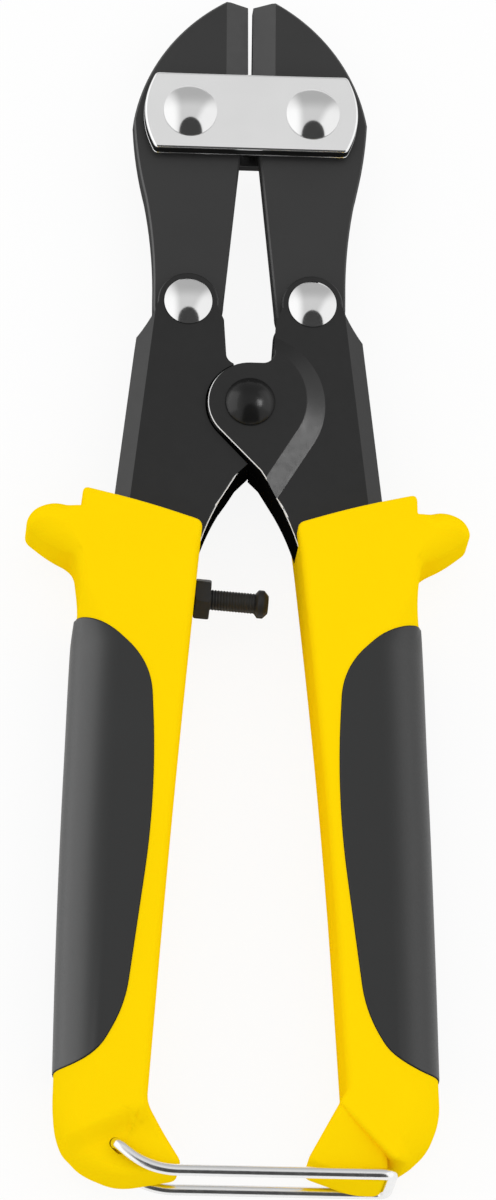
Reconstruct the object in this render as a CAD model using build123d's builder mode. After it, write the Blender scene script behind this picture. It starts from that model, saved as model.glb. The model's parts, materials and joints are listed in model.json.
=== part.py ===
from build123d import *
import os
from math import acos, atan2, cos, degrees, hypot, radians, sin

# Small bolt cutters lying flat: X to the right, Y towards the jaws, Z up from the surface they lie on.

# Places of the pivots
tip_y = 105.0               # jaw tips
strap_pin_x = 10.6          # strap rivets, each side of the middle
strap_pin_y = 83.35
toggle_x = 10.65            # toggle rivets, each side of the middle
toggle_y = 48.55
pivot_y = 30.2              # main pivot

# Thicknesses, all centred on the mid-plane of the tool
grip_thick = 17.0
guard_thick = 15.0
foot_thick = 12.0
lever_thick = 9.8
boss_rise = 1.2             # the pivot boss stands this far above the lever's face
jaw_thick = 5.2
strap_thick = 2.6

# Clearances
slide_gap = 0.1             # between flat faces that slide on each other
side_gap = 0.4              # between edges that swing past each other
run_gap = 0.05              # radial, a pin in the hole it turns in
open_gap = 0.3              # radial, at the left strap rivet, where the linkage is left open

# Jaws
jaw_half_width = 20.2
jaw_waist_x = 16.5          # outer edge beside the toggle rivet
jaw_neck_drop = 14.0        # from the widest point to where the outer edge turns hollow
jaw_neck_share = 0.43       # of the way out from the waist to the widest point
jaw_curve = 3.1             # rise of the outer edge above a straight line from tip to widest point
jaw_cheek_bow = 0.35        # the same below the widest point
jaw_hollow_bow = 0.45       # the same, inwards, above the waist
blade_gap = 0.7             # between the cutting edges
bevel_width = 3.9
bevel_land = 1.4            # thickness left at the cutting edge
tail_radius = 6.0
edge_break = 0.3            # small rounding of steel edges

# Link straps
strap_end = 6.0             # from a strap rivet to the corners beside it
strap_width = 13.75
strap_bow = 1.65            # the ends are bowed outwards by this much
strap_edge = 0.6

# Rivets
strap_shank_r = 3.2
strap_head_r = 4.6
strap_head_rise = 1.8
toggle_shank_r = 2.8
toggle_head_r = 4.1
toggle_head_rise = 1.6
pivot_shank_r = 3.2
pivot_head_r = 4.25
pivot_head_rise = 2.3

# Levers
ear_radius = 5.2
boss_radius = 7.2
boss_tangent = 223.5        # degrees round the boss where its lower edge leaves it
notch_half = 4.1            # half the gap between the levers above the boss
notch_round = 1.9           # rounding at the bottom of that gap
notch_lip = 70.0            # degrees of that rounding on the half without the boss
ramp_inner_r = 9.4          # top of the slope round the boss
ramp_outer_r = 12.9         # foot of that slope
crotch_x = 1.9              # where the lower edges of the levers cross
crotch_drop = 12.3          # below the pivot
ramp_foot_x = 4.7           # lower end of the slope
ramp_foot_drop = 16.9       # below the pivot
shoulder_x = 19.4
shoulder_drop = 6.3         # below the toggle rivet
lever_foot_x = 24.4         # outer edge of the lever deep in the grip
lever_foot_y = 0.0
lever_bevel_width = 2.6
lever_bevel_depth = 1.7
tang_end_y = -45.0
tang_width = 5.0

# Grips
grip_top_y = 8.3            # inner top corner
grip_top_rise = 5.4         # the outer top corner stands this much higher
grip_inner_x = 8.1
grip_outer_x = 28.4
grip_edge = 2.0             # rounding of the long edges
grip_corner = 1.0           # rounding of the top corners
grip_top_bow = 0.5          # rise of the top edge above a straight line
grip_back_bow = 0.6         # the same for the outer edge
grip_front_bow = 0.45       # the same for the inner edge
waist_out = 0.5             # the waist below the guard, from the outer top corner
waist_rise = 4.0            # above the pad
knee_x = 15.8
knee_y = -90.0
heel_x = 32.2
heel_y = -91.5
heel_in = 6.0               # from the heel to the root of the foot
lobe_in = 5.0               # tip of the heel's lobe, from the heel
lobe_drop = 10.0
lobe_bow = 1.6
seat_drop = 9.6             # latch seat beside the lobe, below the heel
guard_radius = 4.6
guard_reach = 38.2          # guard tip from the middle
guard_y = 8.0
guard_edge = 2.6
guard_drop = 3.8            # from the guard's round end down to its root
foot_tip_x = 10.5
foot_tip_y = -101.6
foot_bottom_y = -105.0
foot_tip_radius = 1.6
foot_edge = 1.2
foot_in = 4.4               # lowest point of the foot, out from the knee
foot_bow = 0.9
plain_bow = 3.6             # rise of the round end of the plain foot
hook_radius = 2.5
hook_gap = 0.55             # between the hook and the closed end of the latch

# Soft pads
pad_depth = 1.5
pad_top_y = -9.0
pad_bottom_y = -86.5
pad_inner_x = 15.8
pad_top_drop = 21.0         # from the pad's top to its innermost point
pad_low_rise = 11.0         # from the pad's bottom to the end of its inner edge
pad_low_out = 4.9           # how far the inner edge has run outwards there
pad_top_bow = 5.0
pad_inner_bow = 1.1
pad_low_bow = 1.9

# Stop screw
stop_y = -3.2               # where its axis leaves the left grip
stop_tilt = 4.0             # degrees that the axis falls towards the right handle
stop_shank_r = 1.95
stop_shank_inside = 7.0
stop_reach = 10.2           # nut seat to screw head
stop_head_r = 2.4
stop_head_length = 2.3
stop_head_edge = 0.7
stop_travel = 3.0
nut_across_flats = 6.4
nut_thick = 2.3
nut_turn = 2.0              # degrees that the nut's upper flat is off level

# Wire latch
wire_r = 0.95
latch_x = -21.4             # hinge holes in the left foot
latch_y = -99.5
latch_run_y = -104.0
latch_bend_x = -13.3
latch_end_x = 24.2
wire_foot_gap = 0.35        # between the wire and the flat of the foot
latch_leg = 3.0             # length of each end inside its hole

mid = grip_thick / 2
middle = Plane.XY.offset(mid)
turn_axis = Axis((0, 0, mid), (0, 1, 0))
boss_face = lever_thick / 2 + boss_rise
strap_half_length = strap_pin_x + strap_end
wall_top = (toggle_x - ear_radius - 0.95, toggle_y - 3.2)   # upper end of the gap's wall, below the ear


def bow(start, end, rise):
    """Point at mid-span of a gentle arc from start to end that rises to its left."""
    dx = end[0] - start[0]
    dy = end[1] - start[1]
    span = hypot(dx, dy)
    return ((start[0] + end[0] - 2 * rise * dy / span) / 2, (start[1] + end[1] + 2 * rise * dx / span) / 2)


def bowed(start, end, rise):
    """Arc from start to end that rises to its left."""
    return ThreePointArc(start, bow(start, end, rise), end)


def share(start, end, part):
    """Point this part of the way from start to end."""
    return (start[0] + part * (end[0] - start[0]), start[1] + part * (end[1] - start[1]))


def round_pivot(radius, angle):
    """Point at a radius and an angle round the main pivot."""
    return (radius * cos(radians(angle)), pivot_y + radius * sin(radians(angle)))


def tangent_angle(radius, target):
    """Angle round the main pivot where a line to the target leaves a circle on its right side."""
    dx = target[0]
    dy = target[1] - pivot_y
    return degrees(atan2(dy, dx) + acos(radius / hypot(dx, dy)))


def jaw_solid(pin_gap):
    """Right jaw, with this much radial room round its strap rivet."""
    tip = (bevel_width + blade_gap / 2, tip_y)
    widest = (jaw_half_width, strap_pin_y - 0.85)
    neck = (jaw_waist_x + jaw_neck_share * (jaw_half_width - jaw_waist_x), widest[1] - jaw_neck_drop)
    waist = (jaw_waist_x, toggle_y + 2.5)
    tail_out = (jaw_waist_x, toggle_y)
    tail_low = (jaw_waist_x - tail_radius, toggle_y - tail_radius)
    tail_in = (jaw_waist_x - 2 * tail_radius, toggle_y)
    blade_low = (blade_gap / 2, strap_pin_y + 6)
    blade_top = (blade_gap / 2 + 0.1, tip_y - 0.5)
    with BuildPart() as jaw:
        with BuildSketch(middle):
            with BuildLine():
                bowed(tip, widest, jaw_curve)
                bowed(widest, neck, jaw_cheek_bow)
                bowed(neck, waist, -jaw_hollow_bow)
                Line(waist, tail_out)
                ThreePointArc(tail_out, tail_low, tail_in)
                Polyline(tail_in, blade_low, blade_top, tip)
            make_face()
        extrude(amount=jaw_thick / 2, both=True)
        chamfer(jaw.faces().filter_by(Axis.Z).edges(), edge_break)
        # Ground bevels on both faces, down to just under the straps
        with BuildSketch(Plane.XZ.offset(-strap_pin_y - 3)):
            with BuildLine():
                for side in (1, -1):
                    Polyline(
                        (0, mid + side * bevel_land / 2),
                        (tip[0], mid + side * jaw_thick / 2),
                        (tip[0], mid + side * jaw_thick),
                        (-bevel_width, mid + side * jaw_thick),
                        (-bevel_width, mid + side * bevel_land / 2),
                        (0, mid + side * bevel_land / 2),
                    )
            make_face()
        extrude(amount=-tip_y, mode=Mode.SUBTRACT)
        with Locations((strap_pin_x, strap_pin_y, mid)):
            Hole(strap_shank_r + pin_gap)
        with Locations((toggle_x, toggle_y, mid)):
            Hole(toggle_shank_r + run_gap)
    return jaw.part


def strap_solid(side):
    """Link strap in front of the jaws (side 1) or behind them (side -1)."""
    low = strap_pin_y - strap_width / 2
    high = strap_pin_y + strap_width / 2
    with BuildPart() as strap:
        with BuildSketch(Plane.XY.offset(mid + side * (jaw_thick / 2 + slide_gap))):
            with BuildLine():
                Line((-strap_half_length, high), (strap_half_length, high))
                bowed((strap_half_length, high), (strap_half_length, low), strap_bow)
                Line((strap_half_length, low), (-strap_half_length, low))
                bowed((-strap_half_length, low), (-strap_half_length, high), strap_bow)
            make_face()
        extrude(amount=side * strap_thick)
        outer = strap.faces().sort_by(Axis.Z)[-1 if side > 0 else 0]
        fillet(outer.edges(), strap_edge)
        with Locations((-strap_pin_x, strap_pin_y, mid), (strap_pin_x, strap_pin_y, mid)):
            Hole(strap_shank_r)
    return strap.part


def rivet_solid(x, y, shank_r, half_grip, head_r, head_rise):
    """Rivet through the tool at a place, with a domed head in front and behind."""
    cap_r = (head_r**2 + head_rise**2) / (2 * head_rise)
    half_way = (cap_r * sin(atan2(head_r, cap_r - head_rise) / 2))
    half_up = half_grip + head_rise - cap_r + (cap_r**2 - half_way**2) ** 0.5
    top = half_grip + head_rise
    with BuildPart() as rivet:
        with BuildSketch(Plane((x, y, mid), x_dir=(1, 0, 0), z_dir=(0, -1, 0))):
            with BuildLine():
                ThreePointArc((0, top), (half_way, half_up), (head_r, half_grip))
                Polyline((head_r, half_grip), (shank_r, half_grip), (shank_r, -half_grip), (head_r, -half_grip))
                ThreePointArc((head_r, -half_grip), (half_way, -half_up), (0, -top))
                Line((0, -top), (0, top))
            make_face()
        revolve(axis=Axis((x, y, mid), (0, 0, 1)))
    return rivet.part


def lever_edge(start, end):
    """Outline of the right lever from its lower inner edge round the tang and the ear to the notch."""
    grip_entry = (grip_inner_x + 0.2, grip_top_y - 3.3)
    tang_top = (grip_entry[0] + 2.4, grip_entry[1] - 4)
    tang_mid = (knee_x + grip_inner_x) / 2 + 4.5
    tang_in = (tang_mid, tang_end_y)
    tang_out = (tang_mid + tang_width, tang_end_y)
    tang_neck = (lever_foot_x - 1.5, lever_foot_y - 12)
    shoulder = (shoulder_x, toggle_y - shoulder_drop)
    hollow = (jaw_waist_x - 0.1, toggle_y - 1.9)
    ear_out = (toggle_x + ear_radius * cos(radians(5)), toggle_y - ear_radius * sin(radians(5)))
    ear_in = (toggle_x - ear_radius * cos(radians(10)), toggle_y - ear_radius * sin(radians(10)))
    bowed(start, grip_entry, 0.25)
    Polyline(grip_entry, tang_top, tang_in, tang_out, tang_neck, (lever_foot_x, lever_foot_y), shoulder)
    bowed(shoulder, hollow, 0.15)
    Line(hollow, ear_out)
    ThreePointArc(ear_out, (toggle_x, toggle_y + ear_radius), ear_in)
    Polyline(ear_in, wall_top, end)


def lever_solid(pivot_gap):
    """Right lever: forked ear, half-lapped boss in front, room for the other boss behind, and a tang."""
    crown = round_pivot(boss_radius, 90)
    floor = (notch_half - notch_round, crown[1])
    corner = (notch_half, crown[1] + notch_round)
    half_lip = radians(notch_lip / 2)
    lip_mid = (floor[0] + notch_round * cos(half_lip), corner[1] - notch_round * sin(half_lip))
    lip_end = (floor[0] + notch_round * cos(2 * half_lip), corner[1] - notch_round * sin(2 * half_lip))
    floor_mid = (floor[0] + notch_round * cos(radians(45)), corner[1] - notch_round * sin(radians(45)))
    leave = round_pivot(boss_radius, boss_tangent)
    crossing = (crotch_x, pivot_y - crotch_drop)
    ramp_foot = (ramp_foot_x, pivot_y - ramp_foot_drop)
    ramp_top = share(crossing, ramp_foot, 0.28)
    room = boss_radius + side_gap
    room_turn = degrees(atan2(lip_end[1] - pivot_y, lip_end[0]))
    room_start = round_pivot(room, room_turn)
    room_leave = round_pivot(room, 180 - boss_tangent)
    slant = radians(boss_tangent - 180 + 90)
    reach = (room_leave[0] - 0.3) / abs(cos(slant))
    room_end = (room_leave[0] + reach * cos(slant), room_leave[1] - reach * sin(slant))
    with BuildPart() as lever:
        # Rear layer, cut back round the other lever's boss
        with BuildSketch(Plane.XY.offset(mid - lever_thick / 2)):
            with BuildLine():
                lever_edge(ramp_foot, corner)
                ThreePointArc(corner, lip_mid, lip_end)
                Line(lip_end, room_start)
                ThreePointArc(room_start, round_pivot(room, (room_turn + 180 - boss_tangent) / 2), room_leave)
                Polyline(room_leave, room_end, crossing, ramp_foot)
            make_face()
        extrude(amount=lever_thick / 2 + slide_gap / 2)
        # Front layer, with the boss
        with BuildSketch(Plane.XY.offset(mid + slide_gap / 2)):
            with BuildLine():
                lever_edge(ramp_foot, corner)
                ThreePointArc(corner, floor_mid, floor)
                Line(floor, crown)
                ThreePointArc(crown, round_pivot(boss_radius, 150), leave)
                Polyline(leave, crossing, ramp_foot)
            make_face()
        extrude(amount=lever_thick / 2 - slide_gap / 2)
        # Raised boss with a slope down to the face of the lever
        for height, radius, low, high in (
            (lever_thick / 2, ramp_outer_r, ramp_foot, share(corner, wall_top, 0.5)),
            (boss_face, ramp_inner_r, ramp_top, share(corner, wall_top, 0.06)),
        ):
            turn = tangent_angle(radius, low)
            begin = degrees(atan2(high[1] - pivot_y, high[0]))
            rim = hypot(high[0], high[1] - pivot_y)
            with BuildSketch(Plane.XY.offset(mid + height)):
                with BuildLine():
                    ThreePointArc(high, round_pivot((rim + radius) / 2, (turn + begin) / 2), round_pivot(radius, turn))
                    Polyline(round_pivot(radius, turn), low, crossing, leave)
                    ThreePointArc(leave, round_pivot(boss_radius, 150), crown)
                    Line(crown, floor)
                    ThreePointArc(floor, floor_mid, corner)
                    Line(corner, high)
                make_face()
        loft(ruled=True)
        fillet(lever.faces().sort_by(Axis.Z)[-1].edges(), edge_break)
        # Bevels along the outer edge, front and back
        dx = lever_foot_x - shoulder_x
        dy = lever_foot_y - toggle_y + shoulder_drop
        edge_plane = Plane((shoulder_x, toggle_y - shoulder_drop, mid), x_dir=(-dy, dx, 0), z_dir=(dx, dy, 0))
        with BuildSketch(edge_plane.offset(-ear_radius)):
            for side in (1, -1):
                with BuildLine():
                    Polyline(
                        (-lever_bevel_width, side * lever_thick / 2),
                        (lever_bevel_width, side * (lever_thick / 2 - 2 * lever_bevel_depth)),
                        (lever_bevel_width, side * lever_thick / 2),
                        close=True,
                    )
                make_face()
        extrude(amount=hypot(dx, dy) + 2 * ear_radius, mode=Mode.SUBTRACT)
        # Rounded rims, front and back: round the ear and along the lower inner edge
        rims = lever.edges().filter_by(GeomType.CIRCLE)
        rims = rims.filter_by(lambda e: abs(abs(e.center().Z - mid) - lever_thick / 2) < edge_break)
        fillet(rims.filter_by(lambda e: not pivot_y - ramp_foot_drop < e.center().Y < toggle_y), edge_break)
        # Slot for the jaw's tail
        with Locations((toggle_x, toggle_y - tail_radius - 2 * side_gap, mid)):
            Box(2 * jaw_half_width, 4 * tail_radius, jaw_thick + 4 * slide_gap,
                align=(Align.CENTER, Align.MIN, Align.CENTER), mode=Mode.SUBTRACT)
        with Locations((0, pivot_y, mid)):
            Hole(pivot_shank_r + pivot_gap)
        with Locations((toggle_x, toggle_y, mid)):
            Hole(toggle_shank_r)
    return lever.part


def guard_solid():
    """Finger guard of the right grip: a rounded horn that stands out from the shaft."""
    centre_x = guard_reach - guard_radius
    root_x = grip_outer_x - 6
    top = (centre_x, guard_y + guard_radius)
    low = (centre_x + 0.52 * guard_radius, guard_y - 0.854 * guard_radius)
    root_y = low[1] - guard_drop
    with BuildPart() as guard:
        with BuildSketch(middle):
            with BuildLine():
                Line((root_x, top[1] - 1), top)
                ThreePointArc(top, (guard_reach, guard_y), low)
                Polyline(low, (grip_outer_x + 1.5, root_y), (root_x, root_y), (root_x, top[1] - 1))
            make_face()
        extrude(amount=guard_thick / 2, both=True)
        fillet(guard.faces().filter_by(Axis.Z).edges(), guard_edge)
    return guard.part


def foot_solid(hooked):
    """Foot of the right grip, thinner than the shaft, with a hook for the latch or with a plain round end."""
    tip = (foot_tip_x, foot_tip_y)
    root = share(tip, (knee_x, knee_y), 1.3)
    bottom = (knee_x + foot_in, foot_bottom_y)
    with BuildPart() as foot:
        with BuildSketch(middle):
            with BuildLine():
                Line(root, tip)
                bowed(tip, bottom, -foot_bow)
                if hooked:
                    hook_side = (latch_end_x - wire_r - hook_gap, foot_bottom_y + hook_radius)
                    RadiusArc(bottom, hook_side, -hook_radius)
                    Polyline(hook_side, (hook_side[0], heel_y - heel_in), (heel_x - heel_in, heel_y), root)
                else:
                    side = (heel_x - 0.2, heel_y - 2)
                    bowed(bottom, side, -plain_bow)
                    Polyline(side, (heel_x - heel_in, heel_y), root)
            make_face()
        extrude(amount=foot_thick / 2, both=True)
        fillet(foot.edges().filter_by(Axis.Z).sort_by(Axis.X)[0], foot_tip_radius)
        fillet(foot.faces().filter_by(Axis.Z).edges(), foot_edge)
    return foot.part


def grip_solid(hooked):
    """Right grip before its pad and tang are cut out: shaft, finger guard and foot with or without a hook."""
    inner_top = (grip_inner_x, grip_top_y)
    outer_top = (grip_outer_x, grip_top_y + grip_top_rise)
    waist = (grip_outer_x + waist_out, pad_top_y + waist_rise)
    heel = (heel_x, heel_y)
    knee = (knee_x, knee_y)
    crease = (knee_x + 0.1, knee_y - 1.5)
    with BuildPart() as grip:
        with BuildSketch(middle):
            with BuildLine():
                bowed(inner_top, outer_top, grip_top_bow)
                Line(outer_top, waist)
                bowed(waist, heel, grip_back_bow)
                if hooked:
                    lobe = (heel_x - lobe_in, heel_y - lobe_drop)
                    seat = (latch_end_x + wire_r / 3, heel_y - seat_drop)
                    bowed(heel, lobe, lobe_bow)
                    Line(lobe, seat)
                    bowed(seat, crease, -0.5)
                else:
                    edge = (heel_x - 0.4, heel_y - 6.0)
                    hinge_side = (-latch_x - 1.0, latch_y + 2.6)
                    Polyline(heel, edge, hinge_side, crease)
                Line(crease, knee)
                bowed(knee, inner_top, grip_front_bow)
            make_face()
        extrude(amount=grip_thick / 2, both=True)
        fillet(grip.edges().filter_by(Axis.Z).group_by(Axis.Y)[-1], grip_corner)
        fillet(grip.faces().filter_by(Axis.Z).edges(), grip_edge)
        add(guard_solid())
        add(foot_solid(hooked))
    return grip.part


def pad_room():
    """Room for the right pad: its outline through the whole grip, less the core that it wraps."""
    far = guard_reach + 10
    high = (pad_inner_x, pad_top_y - pad_top_drop)
    low = (pad_inner_x + pad_low_out, pad_bottom_y + pad_low_rise)
    end = (heel_x + pad_depth, pad_bottom_y - pad_depth / 2)
    with BuildPart() as room:
        with BuildSketch(middle):
            with BuildLine():
                Line((far, pad_top_y), (grip_outer_x, pad_top_y))
                bowed((grip_outer_x, pad_top_y), high, -pad_top_bow)
                bowed(high, low, -pad_inner_bow)
                bowed(low, end, -pad_low_bow)
                Polyline(end, (far, end[1]), (far, pad_top_y))
            make_face()
        extrude(amount=grip_thick, both=True)
        with BuildSketch(middle):
            with BuildLine():
                top = (grip_outer_x - pad_depth, pad_top_y + 10)
                low_end = (heel_x - pad_depth, heel_y)
                bowed(top, low_end, grip_back_bow)
                Polyline(low_end, (0, heel_y), (0, top[1]), top)
            make_face()
        extrude(amount=grip_thick / 2 - pad_depth, both=True, mode=Mode.SUBTRACT)
    return room.part


def save(solid, name):
    """Name a finished piece and write it."""
    solid.label = name
    export_step(solid, "parts/" + name + ".step")


# Jaws
right_jaw = jaw_solid(run_gap)
with BuildPart() as left_jaw:
    mirror(jaw_solid(open_gap), about=Plane.YZ)
save(right_jaw, "right_jaw")
save(left_jaw.part, "left_jaw")

# Link straps
save(strap_solid(1), "front_link_strap")
save(strap_solid(-1), "rear_link_strap")

# Rivets
strap_half_grip = jaw_thick / 2 + slide_gap + strap_thick
for word, side in (("right", 1), ("left", -1)):
    strap_rivet = rivet_solid(
        side * strap_pin_x, strap_pin_y, strap_shank_r, strap_half_grip, strap_head_r, strap_head_rise)
    toggle_rivet = rivet_solid(
        side * toggle_x, toggle_y, toggle_shank_r, lever_thick / 2, toggle_head_r, toggle_head_rise)
    save(strap_rivet, word + "_strap_rivet")
    save(toggle_rivet, word + "_toggle_rivet")
save(rivet_solid(0, pivot_y, pivot_shank_r, boss_face + slide_gap, pivot_head_r, pivot_head_rise), "pivot_rivet")

# Stop screw: its axis leaves the left grip square to the nut's seat
seat_x = -grip_inner_x - 0.75
fall = radians(stop_tilt)
stop_axis = Plane((seat_x, stop_y, mid), x_dir=(0, 0, 1), z_dir=(cos(fall), -sin(fall), 0))
with BuildPart() as stop_screw:
    with BuildSketch(stop_axis.offset(-stop_shank_inside)):
        Circle(stop_shank_r)
    extrude(amount=stop_shank_inside + stop_reach)
    with BuildSketch(stop_axis.offset(stop_reach)):
        Circle(stop_head_r)
    extrude(amount=stop_head_length)
    chamfer(stop_screw.edges().filter_by(GeomType.CIRCLE).sort_by(Axis.X)[-1], stop_head_edge)
save(stop_screw.part, "stop_screw")

with BuildPart() as stop_lock_nut:
    with BuildSketch(stop_axis):
        RegularPolygon(nut_across_flats / 2, 6, major_radius=False, rotation=30 + nut_turn)
        Circle(stop_shank_r + run_gap, mode=Mode.SUBTRACT)
    extrude(amount=nut_thick)
save(stop_lock_nut.part, "stop_lock_nut")

# Drilling for the screw, with a flat seat for the nut
with BuildPart() as stop_drill:
    with BuildSketch(stop_axis.offset(-stop_shank_inside - stop_travel - 1)):
        Circle(stop_shank_r + 2 * run_gap)
    extrude(amount=stop_shank_inside + stop_reach)
    with BuildSketch(stop_axis):
        Circle(nut_across_flats)
    extrude(amount=nut_thick)

# Levers: the left one is the same forging turned over
right_lever = lever_solid(0)
with BuildPart() as left_lever:
    add(lever_solid(run_gap).rotate(turn_axis, 180))
    add(stop_drill.part, mode=Mode.SUBTRACT)
save(right_lever, "right_lever")
save(left_lever.part, "left_lever")

# Right grip and pad
right_blank = grip_solid(True)
with BuildPart() as right_grip_pad:
    add(right_blank)
    add(pad_room(), mode=Mode.INTERSECT)
with BuildPart() as right_grip:
    add(right_blank)
    add(pad_room(), mode=Mode.SUBTRACT)
    add(right_lever, mode=Mode.SUBTRACT)
save(right_grip.part, "right_grip")
save(right_grip_pad.part, "right_grip_pad")

# Left grip and pad
left_blank = grip_solid(False)
with BuildPart() as left_pad_half:
    add(left_blank)
    add(pad_room(), mode=Mode.INTERSECT)
with BuildPart() as left_grip_pad:
    mirror(left_pad_half.part, about=Plane.YZ)
with BuildPart() as left_grip_half:
    add(left_blank)
    add(pad_room(), mode=Mode.SUBTRACT)
with BuildPart() as left_grip:
    mirror(left_grip_half.part, about=Plane.YZ)
    add(left_lever.part, mode=Mode.SUBTRACT)
    add(stop_drill.part, mode=Mode.SUBTRACT)
    with Locations((latch_x, latch_y, mid)):
        Hole(wire_r + run_gap)
save(left_grip.part, "left_grip")
save(left_grip_pad.part, "left_grip_pad")

# Wire latch: both ends turn in the left foot, and the closed end goes round the right foot's hook
wire_z = foot_thick / 2 + wire_foot_gap + wire_r
leg_z = foot_thick / 2 - latch_leg
with BuildPart() as wire_latch:
    with BuildLine():
        FilletPolyline(
            (latch_x, latch_y, mid + leg_z),
            (latch_x, latch_y, mid + wire_z),
            (latch_bend_x, latch_run_y, mid + wire_z),
            (latch_end_x, latch_run_y, mid + wire_z),
            (latch_end_x, latch_run_y, mid - wire_z),
            (latch_bend_x, latch_run_y, mid - wire_z),
            (latch_x, latch_y, mid - wire_z),
            (latch_x, latch_y, mid - leg_z),
            radius=1.25 * wire_r,
        )
    with BuildSketch(Plane.XY.move(Location((latch_x, latch_y, mid + leg_z)))):
        Circle(wire_r)
    sweep()
save(wire_latch.part, "wire_latch")
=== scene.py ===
"""Looks of a pair of small bolt cutters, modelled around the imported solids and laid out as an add-on."""
import json

import bmesh
import bpy
import numpy as np
from bpy.props import FloatProperty, FloatVectorProperty, PointerProperty
from mathutils import Matrix, Vector

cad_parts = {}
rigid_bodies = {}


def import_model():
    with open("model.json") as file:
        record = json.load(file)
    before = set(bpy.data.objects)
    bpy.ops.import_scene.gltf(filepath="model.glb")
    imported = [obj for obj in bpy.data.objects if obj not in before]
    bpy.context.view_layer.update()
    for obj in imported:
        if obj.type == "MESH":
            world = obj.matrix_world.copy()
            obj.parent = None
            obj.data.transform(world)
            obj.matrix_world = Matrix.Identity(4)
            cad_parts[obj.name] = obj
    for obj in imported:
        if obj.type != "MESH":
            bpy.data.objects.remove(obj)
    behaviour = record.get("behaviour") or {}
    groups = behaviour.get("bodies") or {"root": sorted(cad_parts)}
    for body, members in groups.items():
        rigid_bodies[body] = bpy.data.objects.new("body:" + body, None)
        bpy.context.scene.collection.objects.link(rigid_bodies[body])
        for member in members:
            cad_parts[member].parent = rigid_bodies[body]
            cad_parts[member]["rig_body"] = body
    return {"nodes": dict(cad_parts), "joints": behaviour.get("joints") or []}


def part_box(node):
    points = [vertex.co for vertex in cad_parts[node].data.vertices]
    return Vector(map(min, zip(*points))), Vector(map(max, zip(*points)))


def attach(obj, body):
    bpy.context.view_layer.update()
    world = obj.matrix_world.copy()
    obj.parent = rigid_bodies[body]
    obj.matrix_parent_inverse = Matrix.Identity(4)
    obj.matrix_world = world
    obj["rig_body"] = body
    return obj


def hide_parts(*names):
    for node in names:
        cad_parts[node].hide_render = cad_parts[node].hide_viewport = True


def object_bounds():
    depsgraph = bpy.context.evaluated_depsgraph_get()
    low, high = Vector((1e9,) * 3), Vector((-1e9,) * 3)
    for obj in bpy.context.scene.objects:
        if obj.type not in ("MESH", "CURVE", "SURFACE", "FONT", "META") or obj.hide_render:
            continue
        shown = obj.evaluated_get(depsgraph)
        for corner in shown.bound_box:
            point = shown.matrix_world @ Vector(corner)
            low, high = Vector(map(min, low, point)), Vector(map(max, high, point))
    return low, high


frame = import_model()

bl_info = {
    "name": "Bolt Cutters",
    "version": (1, 0, 0),
    "blender": (4, 5, 0),
    "location": "View3D > Sidebar > Bolt Cutters",
    "description": "Builds the grips, steelwork, rivets, stop screw, latch and stage of bolt cutters",
    "category": "Object",
}

# The frame gives places in metres; outlines and profiles below are in millimetres
MM = 0.001
ROUND_POINTS = 17                # along the round of each corner of a path
ROUND_ROOM = 0.98                # share of a path's side that the rounds at its ends may take up
CAD_BOX = [list(corner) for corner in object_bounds()]
JOINTS = {joint["name"]: joint for joint in frame["joints"]}
MID = (CAD_BOX[0][2] + CAD_BOX[1][2]) / 2 / MM
LATCH = np.array(JOINTS["latch_swing"]["pos_m"]) / MM
STOP_AXIS = np.array(JOINTS["stop_screw_feed"]["axis"])

# Outline of the right grip: x, y and how far its round starts before and after each corner
GRIP_TOP = [(8.0, 8.2, 1.3), (18.0, 11.4, 6.0)]
GRIP_OUTSIDE = [
    (28.35, 13.8, 1.2), (28.45, 10.4, 0.3), (33.2, 12.1, 2.7), (36.9, 10.4, 2.0), (38.0, 7.5, 1.7),
    (33.4, 3.9, 2.5), (29.2, 2.2, 1.3), (28.3, -4.6, 3.1), (29.4, -11.0, 2.9), (31.2, -47.0, 30.0),
]
HEEL = [(32.5, -93.0, 3.0), (31.0, -97.8, 2.8), (27.1, -101.6, 1.5), (24.2, -101.6, 0.8)]
HEEL_INSIDE = [(15.2, -92.3, 0.5), (16.6, -89.9, 0.5), (13.3, -40.0, 30.0)]
HOOK = [
    (18.05, -87.3, 1.0), (23.5, -90.0, 1.0), (23.5, -105.0, 1.9), (18.4, -105.0, 2.4), (9.9, -102.0, 1.7),
]
PLAIN_FOOT = [
    (31.7, -92.3, 2.5), (30.9, -97.5, 2.8), (27.5, -102.8, 3.0), (20.5, -105.0, 3.1), (10.0, -103.0, 2.2),
]
PLAIN_INSIDE = [(16.4, -92.6, 1.4), (12.5, -40.0, 30.0)]
PAD_EDGE = [
    (29.0, -8.6, 0.0), (24.0, -10.1, 3.5), (16.4, -17.2, 5.5), (15.35, -40.0, 14.0), (20.2, -76.5, 4.5),
    (24.8, -84.9, 3.5), (29.7, -86.75, 1.5), (32.2, -86.8, 0.0),
]
CREASE = np.array([(15.2, -92.3), (24.2, -101.6)])
SPINE_TOP = np.array((18.5, 2.0))
SPINE_LOW = np.array((22.0, -92.0))
HOOK_MIDDLE = np.array((17.8, -98.0))
OUTLINE_STEP = 0.27              # between neighbouring points of a grip's or the hook's outline
SHAFT_RAYS = 151                 # rays to the spine on each side of the shaft
GRIP_SHARP = 35                  # degrees from which an edge of a grip isn't shaded smooth

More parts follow.
